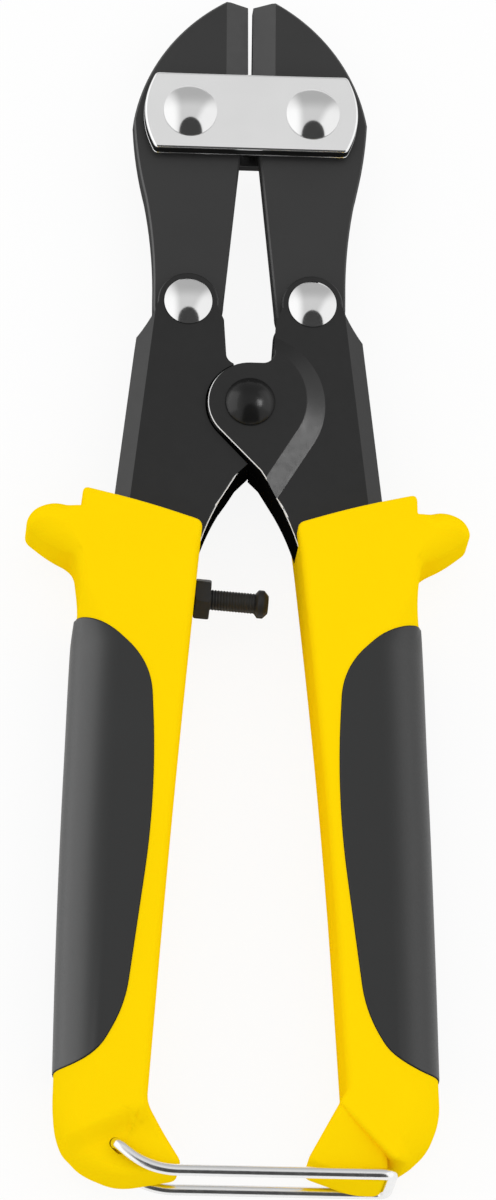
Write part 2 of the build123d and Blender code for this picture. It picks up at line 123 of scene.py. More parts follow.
# Form of the right grip. A pair is the stretch over which one form passes into the next
GUARD_OUT = (27.5, 35.0)         # x, from the shaft to the thinner guard
GUARD_UP = (-6.0, 0.0)           # y, the same
TOP_ROUND = 0.7
TOP_UP = (2.0, 8.0)              # y, from the inner edge's round to the top's
GUARD_ROUND = 4.0
GUARD_ROUND_OUT = (28.0, 31.5)   # x, from the top's round to the guard's
PALM_UP = (-14.0, -2.0)          # y, from the palm's round to the guard's
HEEL_ROUND = 5.5
FOOT_ROUND = 3.0
END_DOWN = (-86.0, -100.0)       # y, from the palm's round to the heel's or the foot's
MIDDLE_DOWN = (-2.0, 20.0, 50.0, 92.0)    # middle line of the grip: how far down, and x there
MIDDLE_X = (18.5, 19.5, 21.0, 23.5)
MIDDLE_HALF = 3.0                # half the width over which the inner edge's round passes into the palm's
CREASE_ROUND = 0.8
CREASE_OFF = (0.5, 3.5)          # distance from the crease, from its round to the grip's
HOOK_ROUND = 1.0
HOOK_SUNK = 0.1                  # how far the hook's knee lies under the grip's face
HOOK_DOWN = (-89.5, -102.5)      # y, from the knee to the thinner end

# Recess of the plain foot, where the wire lies
RECESS_SOFT = 1.3                # half the width of its soft side at the inner end
RECESS_SPREAD = 2.5              # how much more that is at the outer end
RECESS_OUT = (18.0, 24.0)        # x, from the inner end to the outer
RECESS_DOWN = (-90.5, -98.5)     # y, from the shaft to the recess
SWUNG_ACROSS = np.array((0.44, 0.90))     # direction across the wire, when it has swung aside
SWUNG_SIDE = (-4.6, -1.3)        # distance across the swung wire, from the shaft to the recess
SWUNG_OUT = (17.0, 19.8)         # x, from the inner side to the recess

# Pads
PAD_REACH = 0.7                  # how much further in the right pad's edge lies
PAD_REACH_IN = (28.0, 22.0)      # x, from none of that to all of it
PAD_LIP = 0.3                    # rounding of a pad's edge
PAD_SWELL = 0.7                  # share by which a pad stands out more at its outer top
PAD_SWELL_OUT = (0.7, 1.0)       # share of the way to the rim, from no swell to all of it
PAD_SWELL_UP = (-34.0, -12.0)    # y, the same
PAD_SEAM_SHADOW = (0.10, 0.32)          # distance from the edge, from the painted shadow at the seam to the rubber's colour
PAD_INSET = "inset"              # attribute that tells the rubber how far it is from the pad's edge

# Outline of a link strap, its rim and the rivets' heads
STRAP = [
    (16.6, 90.5, 0.7), (19.9, 83.4, 6.6), (16.6, 76.4, 0.7),
    (-16.6, 76.4, 0.7), (-19.9, 83.4, 6.6), (-16.6, 90.5, 0.7),
]
STRAP_SPINE = 11.0               # how far the spine of a strap's faces reaches to each side
STRAP_RINGS = (0.5, 0.7)         # inset of the rings where the inner and the outer face begin
STRAP_BURR = 0.05
STRAP_SHEAR = 0.08               # how far the sheared wall lies inside the burr
STRAP_WALL = (0.16, 0.22)        # heights over the inner face, at the start of the sheared wall
STRAP_ROUND = 0.45               # rounding of the outer rim
RIVET_SKIRT = 0.22               # height of the skirt under a head's ball
RIVET_TUCK = 0.10                # how far the skirt draws in at the seat
RIVET_STEP = 0.5                 # how much wider a head is than its shank, in radius
BOSS_RISE = 1.2                  # the pivot boss over the face of the lever

# Latch wire, and the slots in the left foot that its ends go into
LATCH_BEND_X = -16.0             # where the wire bends into its straight run
WIRE_DEPTH = 4.3                 # how far the wire's ends reach down
POCKET_RADIUS = 1.0
POCKET_AHEAD = 1.1               # centres of the slot's round ends, along the wire and back from the hinge
POCKET_BACK = 0.1
POCKET_FLOOR = 4.6               # over the middle plane
POCKET_TOP = 10.0

# Stop screw and nut: radii, and distances along the axis from the middle of the nut's solid
SCREW_START = -8.15
SCREW_NECK = 9.05
SCREW_END = 11.35
THREAD_ROOT = 1.62
THREAD_DEPTH = 0.12
THREAD_FLANK = 0.42              # share of a pitch that a flank takes up
HEAD_RADIUS = 2.4
NUT_TURN = 23.5                  # degrees that the hexagon is turned about the axis
NUT_FLAT = 3.2                   # from the axis to a flat
NUT_BORE = 1.9
NUT_HALF = 1.15                  # from the middle to the end at the grip
NUT_FAR = 1.25                   # the other end, as a share of that
NUT_LEVELS = np.array((-1, -1, -0.88, -0.76, 0.96, 1.1, NUT_FAR, NUT_FAR))
NUT_CONE = 3.35                  # radius of the cones at the ends
NUT_CONE_SLOPE = 1.7

# Finishes. A pair is the stretch over which one look passes into the next
NOISE_SPAN = (0.3, 0.7)          # where most of a noise lies
WALL_SPAN = (0.08, 0.28)         # how level a surface lies, from upright walls to faces
HIGHLIGHT_STEEP = (0.22, 0.34)        # how level, from walls to the edges with the painted highlight
HIGHLIGHT_FLAT = (0.80, 0.88)         # how level, from the edges with the painted highlight to faces
HIGHLIGHT_OUT = (11.0, 13.0)          # x, from the painted highlight to none
HIGHLIGHT_UP = (33.0, 36.0)           # y, the same
WALL_SHADE_UP = (24.0, 28.0)           # y, from walls with painted shade to plain ones
# near-white painted highlight along the levers' rounded edges
EDGE_HIGHLIGHT_WHITE = (0.9, 0.9, 0.9, 1)
# painted shade on the levers' walls below the pivot
WALL_SHADE_BLACK = (0.003, 0.003, 0.003, 1)
# painted shadow of the groove at a pad's edge
SEAM_SHADOW_BLACK = (0.002, 0.002, 0.002, 1)

# Pieces that the gloss lights shine on, by the ends of their names
DARK_ENDINGS = ("jaw", "lever", "_skin", "pivot_rivet_turned", "stop_screw_threaded", "stop_nut_hex")
LEVER_ENDINGS = ("lever", "pivot_rivet_turned")


class CutterSizes(bpy.types.PropertyGroup):
    """Sizes that a user would change"""
    edge_round: FloatProperty(
        name="Edge Round", description="Rounding of the grip's inner edges",
        default=1.3 * MM, unit="LENGTH")
    palm_round: FloatProperty(
        name="Palm Round", description="Rounding of the grip's outer side",
        default=8.0 * MM, unit="LENGTH")
    pad_proud: FloatProperty(
        name="Pad Height", description="How far the soft pads stand out of the grips",
        default=0.22 * MM, unit="LENGTH")
    guard_half: FloatProperty(
        name="Guard Half Thickness", description="Half the thickness of the finger guards",
        default=7.6 * MM, unit="LENGTH")
    foot_half: FloatProperty(
        name="Foot Half Thickness", description="Half the thickness of the hook's end and the foot's recess",
        default=6.0 * MM, unit="LENGTH")
    wire_radius: FloatProperty(
        name="Wire Radius", description="Radius of the latch wire",
        default=0.95 * MM, unit="LENGTH")
    thread_pitch: FloatProperty(
        name="Thread Pitch", description="Pitch of the stop screw's thread",
        default=0.5 * MM, unit="LENGTH")


class CutterColours(bpy.types.PropertyGroup):
    """Colours that a user would change"""
    yellow: FloatVectorProperty(
        name="Grip Yellow", description="Plastic of the grips", subtype="COLOR",
        default=(0.98, 0.67, 0.002), min=0, max=1)
    pad_grey: FloatVectorProperty(
        name="Pad Grey", description="Soft pads of the grips", subtype="COLOR",
        default=(0.0095, 0.010, 0.010), min=0, max=1)
    jaw_black: FloatVectorProperty(
        name="Jaw Black", description="Coating of the jaws", subtype="COLOR",
        default=(0.014, 0.014, 0.014), min=0, max=1)
    lever_black: FloatVectorProperty(
        name="Lever Black", description="Coating of the levers and the pivot rivet", subtype="COLOR",
        default=(0.008, 0.008, 0.008), min=0, max=1)
    screw_black: FloatVectorProperty(
        name="Screw Black", description="Stop screw and its nut", subtype="COLOR",
        default=(0.016, 0.016, 0.0165), min=0, max=1)
    nickel: FloatVectorProperty(
        name="Nickel", description="Plated straps, rivets and wire", subtype="COLOR",
        default=(0.86, 0.86, 0.86), min=0, max=1)
    floor: FloatVectorProperty(
        name="Floor", description="Floor under the tool", subtype="COLOR",
        default=(0.90, 0.90, 0.90), min=0, max=1)


def sizes():
    """Sizes in millimetres, by name"""
    group = bpy.context.scene.cutter_sizes
    return {name: getattr(group, name) / MM for name in CutterSizes.__annotations__}


def smoothstep(low, high, value):
    """0 at low, 1 at high, and the cubic 3t^2 - 2t^3 between"""
    t = np.clip((value - low) / (high - low), 0, 1)
    return t * t * (3 - 2 * t)


def blend(start, end, part):
    """Start where the part is 0, end where it is 1"""
    return start + part * (end - start)


def rounded_path(corners, closed):
    """Path through corners whose rounds are parabolas: each starts and ends the corner's setback away from
    it, or less where two rounds would meet"""
    corners = np.asarray(corners, float)
    at, setback = corners[:, :-1], corners[:, -1:]
    before = np.roll(at, 1, axis=0) - at
    after = np.roll(at, -1, axis=0) - at
    room = np.linalg.norm(after, axis=1, keepdims=True)
    fits = np.minimum(1, ROUND_ROOM * room / np.maximum(setback + np.roll(setback, -1, axis=0), 1e-9))
    setback = setback * np.minimum(fits, np.roll(fits, 1, axis=0))
    start = at + setback * before / np.linalg.norm(before, axis=1, keepdims=True)
    end = at + setback * after / room
    t = np.linspace(0, 1, ROUND_POINTS)[None, :, None]
    path = (1 - t) ** 2 * start[:, None] + 2 * t * (1 - t) * at[:, None] + t**2 * end[:, None]
    path = path.reshape(-1, at.shape[1])
    if closed:
        path = np.vstack([path, path[:1]])
    step = np.linalg.norm(np.diff(path, axis=0), axis=1)
    return path[np.concatenate([[True], step > 1e-9])]


def resampled(path, step):
    """The same path with points at even distances of about one step"""
    run = np.concatenate([[0], np.cumsum(np.linalg.norm(np.diff(path, axis=0), axis=1))])
    places = np.linspace(0, run[-1], int(np.ceil(run[-1] / step)) + 1)
    return np.stack([np.interp(places, run, path[:, axis]) for axis in range(path.shape[1])], axis=1)


def distance_to(points, path):
    """Least distance from each point to the straight pieces of a path"""
    best = np.full(len(points), np.inf)
    start = path[:-1]
    along = path[1:] - start
    length2 = np.maximum((along**2).sum(1), 1e-12)
    for block in np.array_split(np.arange(len(start)), max(1, len(start) // 40)):
        offset = points[:, None] - start[None, block]
        t = np.clip((offset * along[None, block]).sum(2) / length2[None, block], 0, 1)
        gap = offset - t[..., None] * along[None, block]
        best = np.minimum(best, np.sqrt((gap**2).sum(2)).min(1))
    return best


def round_over(depth, radius):
    """Quarter of a circle: 0 at the edge, 1 from the radius inwards"""
    t = np.clip(depth / radius, 0, 1)
    return np.sqrt(1 - (1 - t) ** 2)


def grid_piece(name, grid, close_v=False, sharp=None):
    """Mesh of a grid of points in millimetres, one quad between neighbours, with seams and poles closed.
    Edges stay sharp from so many degrees"""
    rows, columns = grid.shape[:2]
    u = np.arange(rows - 1)
    v = np.arange(columns if close_v else columns - 1)
    a, b = np.meshgrid(u, v, indexing="ij")
    a2, b2 = a + 1, (b + 1) % columns
    quads = np.stack([a * columns + b, a2 * columns + b, a2 * columns + b2, a * columns + b2], axis=-1)
    mesh = bpy.data.meshes.new(name)
    mesh.from_pydata((grid.reshape(-1, 3) * MM).tolist(), [], quads.reshape(-1, 4).tolist())
    work = bmesh.new()
    work.from_mesh(mesh)
    bmesh.ops.remove_doubles(work, verts=work.verts, dist=1e-7)
    bmesh.ops.dissolve_degenerate(work, edges=work.edges, dist=1e-8)
    bmesh.ops.recalc_face_normals(work, faces=work.faces)
    work.to_mesh(mesh)
    work.free()
    mesh.shade_smooth()
    if sharp is not None:
        mesh.set_sharp_from_angle(angle=np.radians(sharp))
    piece = bpy.data.objects.new(name, mesh)
    bpy.context.scene.collection.objects.link(piece)
    return piece


def place(piece, node, material):
    """Give a piece its finish, let it ride on its node's body and stand for that node"""
    body = frame["nodes"][node]["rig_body"]
    piece.data.materials.clear()
    piece.data.materials.append(material)
    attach(piece, body)
    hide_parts(node)


def node_box(node):
    """Low and high corner of a CAD node, in millimetres"""
    return tuple(np.array(corner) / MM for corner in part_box(node))


# Node trees

def calc(tree, operation, *values):
    """Math node on numbers and sockets"""
    node = tree.nodes.new("ShaderNodeMath")
    node.operation = operation
    for socket, value in zip(node.inputs, values):
        if isinstance(value, (int, float)):
            socket.default_value = value
        else:
            tree.links.new(value, socket)
    return node.outputs["Value"]


def ramp(tree, value, low, high, start, end, smooth=True):
    """The value's range from low to high, mapped to the range from start to end"""
    node = tree.nodes.new("ShaderNodeMapRange")
    node.interpolation_type = "SMOOTHSTEP" if smooth else "LINEAR"
    node.inputs["From Min"].default_value = low
    node.inputs["From Max"].default_value = high
    node.inputs["To Min"].default_value = start
    node.inputs["To Max"].default_value = end
    tree.links.new(value, node.inputs["Value"])
    return node.outputs["Result"]


def first_node(tree, kind):
    """The node of that type that a new tree comes with"""
    return next(node for node in tree.nodes if node.type == kind)


def parts_of(tree, coordinate):
    """X, Y and Z of a texture coordinate"""
    where = tree.nodes.new("ShaderNodeTexCoord")
    parts = tree.nodes.new("ShaderNodeSeparateXYZ")
    tree.links.new(where.outputs[coordinate], parts.inputs["Vector"])
    return [parts.outputs[axis] for axis in "XYZ"]


def metres(span):
    """A stretch given in millimetres, for a node tree"""
    return [end * MM for end in span]


def seen_rays(tree):
    """1 for camera rays, reflections and what shows through; 0 for the light on matt surfaces"""
    rays = tree.nodes.new("ShaderNodeLightPath")
    straight = calc(tree, "MAXIMUM", rays.outputs["Is Camera Ray"], rays.outputs["Is Glossy Ray"])
    return calc(tree, "MAXIMUM", straight, rays.outputs["Is Transmission Ray"])


def plain_finish(name, colour, roughness, metallic=0.0, specular=0.5):
    """Material with one shader, and its node tree and shader"""
    material = bpy.data.materials.new(name)
    material.use_nodes = True
    tree = material.node_tree
    shader = first_node(tree, "BSDF_PRINCIPLED")
    shader.inputs["Base Color"].default_value = (*colour, 1)
    shader.inputs["Roughness"].default_value = roughness
    shader.inputs["Metallic"].default_value = metallic
    shader.inputs["Specular IOR Level"].default_value = specular
    return material, tree, shader


def grain(tree, scale, detail=4.0, stretch=(1, 1, 1)):
    """Noise on object coordinates, with so many grains to the metre, stretched along the axes"""
    where = tree.nodes.new("ShaderNodeTexCoord")
    mapping = tree.nodes.new("ShaderNodeMapping")
    mapping.inputs["Scale"].default_value = stretch
    noise = tree.nodes.new("ShaderNodeTexNoise")
    noise.inputs["Scale"].default_value = scale
    noise.inputs["Detail"].default_value = detail
    tree.links.new(where.outputs["Object"], mapping.inputs["Vector"])
    tree.links.new(mapping.outputs["Vector"], noise.inputs["Vector"])
    return noise.outputs["Fac"]


def uneven_gloss(tree, shader, value, low, high):
    """Roughness that wanders from low to high with a noise"""
    tree.links.new(ramp(tree, value, *NOISE_SPAN, low, high, smooth=False), shader.inputs["Roughness"])


def tint(tree, shader, value, colour, spread):
    """Colour that wanders with a noise, darker and lighter by the spread"""
    mix = tree.nodes.new("ShaderNodeMix")
    mix.data_type = "RGBA"
    mix.inputs["A"].default_value = (*(c * (1 - spread) for c in colour), 1)
    mix.inputs["B"].default_value = (*(min(1, c * (1 + spread)) for c in colour), 1)
    tree.links.new(ramp(tree, value, *NOISE_SPAN, 0, 1, smooth=False), mix.inputs["Factor"])
    tree.links.new(mix.outputs["Result"], shader.inputs["Base Color"])


def level(tree):
    """How level the surface lies: 1 on the flat faces, 0 on upright walls"""
    x, y, z = parts_of(tree, "Normal")
    return calc(tree, "ABSOLUTE", z)


def overlay(tree, shader, socket, mask, value):
    """Lay a plain number or colour over what already feeds a socket, where the mask is 1"""
    mix = tree.nodes.new("ShaderNodeMix")
    mix.data_type = "FLOAT" if isinstance(value, float) else "RGBA"
    mix.inputs["B"].default_value = value
    tree.links.new(mask, mix.inputs["Factor"])
    tree.links.new(shader.inputs[socket].links[0].from_socket, mix.inputs["A"])
    tree.links.new(mix.outputs["Result"], shader.inputs[socket])


def painted_wall_shade(tree, shader, shade, specular):
    """Upright walls painted one flat grey of that shade, as painted light on the black coatings and
    painted shade on the plate: matt and without the shine that the faces have"""
    lie = level(tree)
    wall = ramp(tree, lie, *WALL_SPAN, 1, 0)
    # Painted light and shade: the walls' colour is replaced by one flat grey
    overlay(tree, shader, "Base Color", wall, (shade, shade, shade, 1))
    overlay(tree, shader, "Roughness", wall, 0.9)
    tree.links.new(ramp(tree, lie, *WALL_SPAN, 0, specular), shader.inputs["Specular IOR Level"])


def bumps(tree, shader, value, height):
    """Bump of that height in metres"""
    bump = tree.nodes.new("ShaderNodeBump")
    bump.inputs["Strength"].default_value = 1.0
    bump.inputs["Distance"].default_value = height
    tree.links.new(value, bump.inputs["Height"])
    tree.links.new(bump.outputs["Normal"], shader.inputs["Normal"])


def yellow_plastic():
    """Moulded plastic: fine waves in the surface, uneven satin gloss and a faint drift in colour"""
    colour = bpy.context.scene.cutter_colours.yellow
    material, tree, shader = plain_finish("yellow_plastic", colour, 0.5, specular=0.0)
    tint(tree, shader, grain(tree, 35, 2), colour, 0.012)
    uneven_gloss(tree, shader, grain(tree, 900), 0.46, 0.56)
    bumps(tree, shader, grain(tree, 2600, 2), 3e-6)
    shader.inputs["Subsurface Weight"].default_value = 0.06
    shader.inputs["Subsurface Radius"].default_value = (0.0012, 0.0007, 0.0002)
    return material


def grey_rubber():
    """Soft overmould: fine spark-eroded grain, satin, a little darker in patches, with a painted shadow at
    its seam
    """
    colour = bpy.context.scene.cutter_colours.pad_grey
    material, tree, shader = plain_finish("grey_rubber", colour, 0.42, specular=0.5)
    tint(tree, shader, grain(tree, 60, 3), colour, 0.05)
    uneven_gloss(tree, shader, grain(tree, 3000), 0.38, 0.48)
    bumps(tree, shader, grain(tree, 5200, 3), 1.0e-5)
    inset = tree.nodes.new("ShaderNodeAttribute")
    inset.attribute_name = PAD_INSET
    # Painted shadow: the rubber goes near black along its edge, where a groove's shadow would fall
    seam_shadow = ramp(tree, inset.outputs["Fac"], *metres(PAD_SEAM_SHADOW), 1, 0)
    overlay(tree, shader, "Base Color", seam_shadow, SEAM_SHADOW_BLACK)
    overlay(tree, shader, "Roughness", seam_shadow, 1.0)
    return material


def black_coating(name, colour, roughness, specular):
    """Satin black coating on forged steel: fine orange peel, slightly uneven gloss, and matt walls painted a
    lighter grey as painted light
    """
    material, tree, shader = plain_finish(name, colour, roughness, specular=specular)
    tint(tree, shader, grain(tree, 90, 5), colour, 0.08)
    uneven_gloss(tree, shader, grain(tree, 700, 6), 0.9 * roughness, 1.1 * roughness)
    bumps(tree, shader, grain(tree, 4200, 3), 4e-6)
    # Painted light: the walls get a flat grey lighter than the coating, as bright as the glossy faces look
    painted_wall_shade(tree, shader, 0.06, specular)
    return material


def edge_highlight_coating(name, colour, roughness, specular):
    """The same coating with a near-white painted highlight on the rounded edges between the grips and the
    pivot, and near-black painted shade on the walls below the pivot"""
    material = black_coating(name, colour, roughness, specular)
    tree = material.node_tree
    shader = first_node(tree, "BSDF_PRINCIPLED")
    x, y, z = parts_of(tree, "Object")
    lie = level(tree)
    below = ramp(tree, y, *metres(WALL_SHADE_UP), 1, 0)
    painted_shade = calc(tree, "MULTIPLY", ramp(tree, lie, *WALL_SPAN, 1, 0), below)
    # Painted shade: walls below the pivot go near black
    overlay(tree, shader, "Base Color", painted_shade, WALL_SHADE_BLACK)
    edge = calc(tree, "MULTIPLY", ramp(tree, lie, *HIGHLIGHT_STEEP, 0, 1), ramp(tree, lie, *HIGHLIGHT_FLAT, 1, 0))
    inner = ramp(tree, calc(tree, "ABSOLUTE", x), *metres(HIGHLIGHT_OUT), 1, 0)
    low = ramp(tree, y, *metres(HIGHLIGHT_UP), 1, 0)
    painted_highlight = calc(tree, "MULTIPLY", edge, calc(tree, "MULTIPLY", inner, low))
    # Painted highlight: near-white base colour on the rounded edges, not metal
    overlay(tree, shader, "Base Color", painted_highlight, EDGE_HIGHLIGHT_WHITE)
    return material


def bright_plate(name, roughness, stretch=(1, 1, 1), shade=1.0):
    """Nickel plate: fine lines that turn its gloss up and down along the polishing direction"""
    colour = [shade * c for c in bpy.context.scene.cutter_colours.nickel]
    material, tree, shader = plain_finish(name, colour, roughness, metallic=1.0)
    lines = grain(tree, 700, 6, stretch)
    uneven_gloss(tree, shader, lines, 0.8 * roughness, 1.25 * roughness)
    tint(tree, shader, grain(tree, 120, 3), colour, 0.015)
    bumps(tree, shader, lines, 4e-7)
    return material, tree, shader


# Grips and pads

def grip_outline(hooked):
    """Closed outline of the right grip, with a heel that ends at the hook's crease, or a plain foot"""
    end = HEEL + HEEL_INSIDE if hooked else PLAIN_FOOT + PLAIN_INSIDE
    return resampled(rounded_path(GRIP_TOP + GRIP_OUTSIDE + end, True), OUTLINE_STEP)


def grip_ring(hooked):
    """The grip's outline as a ring that starts at its highest point, and the place of its lowest point"""
    ring = grip_outline(hooked)[:-1]
    ring = np.roll(ring, -int(np.argmax(ring[:, 1])), axis=0)
    return ring, int(np.argmin(ring[:, 1]))


def at_levels(side, levels):
    """Points of one side of an outline, at levels of y"""
    return np.stack([np.interp(levels, side[:, 1], side[:, 0]), levels], axis=1)


def ray_steps(count, crowding):
    """Shares of the way along a ray: even steps to a power, so that they crowd at its start"""
    return np.linspace(0, 1, count)[:, None, None] ** crowding


def grip_round(points, hooked):
    """Radius of the quarter circle at the grip's rim: small at the inner and top edges and at the crease,
    wider at the guard, the heel and the foot, and as wide as the palm along the outer side"""
    size = sizes()
    x, y = points[:, 0], points[:, 1]
    small = blend(size["edge_round"], TOP_ROUND, smoothstep(*TOP_UP, y))
    guard = blend(small, GUARD_ROUND, smoothstep(*GUARD_ROUND_OUT, x))
    palm = blend(size["palm_round"], guard, smoothstep(*PALM_UP, y))
    palm = blend(palm, HEEL_ROUND if hooked else FOOT_ROUND, smoothstep(*END_DOWN, y))
    middle = np.interp(-y, MIDDLE_DOWN, MIDDLE_X)
    radius = blend(small, palm, smoothstep(-MIDDLE_HALF, MIDDLE_HALF, x - middle))
    if hooked:
        radius = blend(CREASE_ROUND, radius, smoothstep(*CREASE_OFF, distance_to(points, CREASE)))
    return radius


def wire_recess(points):
    """0 on the shaft and 1 in the plain foot's recess. It lies below the line of the crease, for the latched
    wire, and reaches past the hinge, where the wire lies once it has swung aside"""
    x, y = points[:, 0], points[:, 1]
    (x0, y0), (x1, y1) = CREASE
    below = ((x - x0) * (y1 - y0) - (y - y0) * (x1 - x0)) / np.hypot(x1 - x0, y1 - y0)
    soft = RECESS_SOFT + RECESS_SPREAD * smoothstep(*RECESS_OUT, x)
    latched = smoothstep(-soft, soft, below) * smoothstep(*RECESS_DOWN, y)
    past = (np.abs(LATCH[:2]) * (1, -1) - points) @ SWUNG_ACROSS
    aside = smoothstep(*SWUNG_SIDE, past) * smoothstep(*SWUNG_OUT, x)
    return np.maximum(latched, aside)


def grip_height(points, hooked):
    """Half the grip's thickness at points of its plan. It is thick along the shaft, a little thinner at the
    guard, and the plain foot falls away softly to its recess. A quarter circle rounds it over at the rim"""
    size = sizes()
    thin = smoothstep(*GUARD_OUT, points[:, 0]) * smoothstep(*GUARD_UP, points[:, 1])
    half = blend(MID - size["pad_proud"], size["guard_half"], thin)
    if not hooked:
        half = blend(half, size["foot_half"], wire_recess(points))
    radius = grip_round(points, hooked)
    return half - radius + radius * round_over(distance_to(points, grip_outline(hooked)), radius)


def grip_rim(hooked):
    """Points round the grip's outline, and for each the point of the spine that its ray runs to: straight
    across along the shaft, fanned out at the guard and the foot"""
    path, lowest = grip_ring(hooked)
    right = np.arange(len(path)) < lowest
    low, high = SPINE_LOW[1], SPINE_TOP[1]
    levels = np.linspace(high, low, SHAFT_RAYS)
    outer = at_levels(path[right][::-1], levels)
    inner = at_levels(path[~right], levels)
    head, foot = path[:, 1] > high, path[:, 1] < low
    rim = np.vstack([path[~right & head], path[right & head], outer, path[foot], inner[::-1]])
    reach = np.clip((rim[:, 1] - low) / (high - low), 0, 1)[:, None]
    return rim, SPINE_LOW + reach * (SPINE_TOP - SPINE_LOW)


def grip_surface(hooked, side):
    """Grip as rays from its outline to a spine. The height over each point of a ray gives the front, and its
    negative the back; a wall joins them"""
    rim, spine = grip_rim(hooked)
    plan = rim[None] + ray_steps(40, 2.3) * (spine - rim)[None]
    height = grip_height(plan.reshape(-1, 2), hooked).reshape(plan.shape[:2])
    return two_faced(plan, height, side)


def hook_surface(side):
    """Hook under the heel: rays from its outline to its middle, level with the grip at the knee and thinner
    towards the wire, with a quarter circle round its edge"""
    size = sizes()
    path = resampled(rounded_path(HOOK, True), OUTLINE_STEP)
    plan = path[:-1][None] + ray_steps(30, 2.0) * (HOOK_MIDDLE - path[:-1])[None]
    points = plan.reshape(-1, 2)
    knee = MID - size["pad_proud"] - HOOK_SUNK
    half = blend(knee, size["foot_half"], smoothstep(*HOOK_DOWN, points[:, 1]))
    height = half - HOOK_ROUND + HOOK_ROUND * round_over(distance_to(points, path), HOOK_ROUND)
    return two_faced(plan, height.reshape(plan.shape[:2]), side)


def two_faced(plan, height, side):
    """Closed grid over a plan: its height above the middle in front, and the same below it at the back"""
    front = np.dstack([side * plan[..., 0], plan[..., 1], MID + height])
    back = np.dstack([side * plan[..., 0], plan[..., 1], MID - height])
    return np.concatenate([back[::-1], front])


def pad_edge(hooked):
    """The pad's edge in plan; on the hooked grip it reaches further in"""
    edge = resampled(rounded_path(PAD_EDGE, False), step=0.4)
    if hooked:
        edge[:, 0] -= PAD_REACH * smoothstep(*PAD_REACH_IN, edge[:, 0])
    return edge


def pad_surface(hooked, side):
    """Pad as rays from its edge on the grip to the grip's outer rim, lifted square off the grip's own
    surface, and sunk into it at the edge"""
    size = sizes()
    path, lowest = grip_ring(hooked)
    right = path[:lowest][::-1]
    edge = pad_edge(hooked)
    edge[:, 0] = np.minimum(edge[:, 0], np.interp(edge[:, 1], right[:, 1], right[:, 0]))
    rim = at_levels(right, np.linspace(PAD_EDGE[0][1], PAD_EDGE[-1][1], len(edge)))
    steps = np.sin(ray_steps(48, 1.6) * np.pi / 2)
    plan = edge[None] + steps * (rim - edge)[None]
    height = grip_height(plan.reshape(-1, 2), hooked).reshape(plan.shape[:2])
    inset = distance_to(plan.reshape(-1, 2), edge).reshape(plan.shape[:2])
    swell = smoothstep(*PAD_SWELL_OUT, steps[..., 0]) * smoothstep(*PAD_SWELL_UP, plan[..., 1])
    lift = size["pad_proud"] * (2 * round_over(inset, PAD_LIP) - 1) * (1 + PAD_SWELL * swell)
    front = np.dstack([plan, height])
    normal = np.cross(np.gradient(front, axis=1), np.gradient(front, axis=0))
    normal /= np.maximum(np.linalg.norm(normal, axis=2, keepdims=True), 1e-9)
    normal *= np.sign(normal[..., 2:] + 1e-6)
    normal[-1] = (1, 0, 0)
    front = front + normal * lift[..., None]
    whole = np.concatenate([front * (1, 1, -1), front[::-1]])
    return whole * (side, 1, 1) + (0, 0, MID)


def store_inset(mesh, hooked):
    """Attribute for the rubber: how far each point of a pad lies inside the pad's edge, in metres"""
    points = np.empty(3 * len(mesh.vertices))
    mesh.vertices.foreach_get("co", points)
    plan = np.abs(points.reshape(-1, 3)[:, :2] / MM) * (1, -1)
    inset = distance_to(plan, pad_edge(hooked)) * MM
    mesh.attributes.new(PAD_INSET, "FLOAT", "POINT").data.foreach_set("value", inset)


def latch_pocket(side):
    """Cutter for the latch's hinge hole: a slot with round ends along the wire, in one face of the foot"""
    along = np.array((LATCH_BEND_X, CAD_BOX[0][1] / MM)) - LATCH[:2]
    along /= np.linalg.norm(along)
    across = np.array((-along[1], along[0]))
    turn = np.linspace(-np.pi / 2, np.pi / 2, 15)
    bulge, width = POCKET_RADIUS * np.cos(turn), POCKET_RADIUS * np.sin(turn)
    ends = np.concatenate([POCKET_AHEAD + bulge, -POCKET_BACK - bulge])
    sides = np.concatenate([width, -width])
    ring = LATCH[:2] + ends[:, None] * along + sides[:, None] * across
    middle = np.broadcast_to(ring.mean(0), ring.shape)
    rows = [(middle, POCKET_FLOOR), (ring, POCKET_FLOOR), (ring, POCKET_TOP), (middle, POCKET_TOP)]
    grid = np.stack([np.column_stack([plan, np.full(len(plan), MID + side * z)]) for plan, z in rows])
    return grid_piece("latch_pocket", grid, close_v=True)


def combine(piece, other, operation):
    """Join a closed surface to a piece, or take it out of the piece"""
    change = piece.modifiers.new("combine", "BOOLEAN")
    change.operation = operation
    change.object = other
    bpy.context.view_layer.update()
    mesh = bpy.data.meshes.new_from_object(piece.evaluated_get(bpy.context.evaluated_depsgraph_get()))
    piece.modifiers.clear()
    piece.data = mesh
    bpy.data.objects.remove(other)
    mesh.set_sharp_from_angle(angle=np.radians(GRIP_SHARP))


class CUTTER_OT_grips(bpy.types.Operator):
    """Model both yellow grips"""
    bl_idname = "cutter.grips"
    bl_label = "Grips"

    def execute(self, context):
        plastic = yellow_plastic()
        for node, hooked, side in (("right_grip", True, 1), ("left_grip", False, -1)):
            piece = grid_piece(node + "_shell", grip_surface(hooked, side), close_v=True)
            if hooked:
                combine(piece, grid_piece("hook", hook_surface(side), close_v=True), "UNION")
            else:
                combine(piece, latch_pocket(1), "DIFFERENCE")
                combine(piece, latch_pocket(-1), "DIFFERENCE")
            place(piece, node, plastic)
        return {"FINISHED"}


class CUTTER_OT_pads(bpy.types.Operator):
    """Model the soft pads on both grips"""
    bl_idname = "cutter.pads"
    bl_label = "Pads"

    def execute(self, context):
        rubber = grey_rubber()
        for node, hooked, side in (("right_grip_pad", True, 1), ("left_grip_pad", False, -1)):
            piece = grid_piece(node + "_skin", pad_surface(hooked, side))
            store_inset(piece.data, hooked)
            place(piece, node, rubber)
        return {"FINISHED"}


# Steelwork

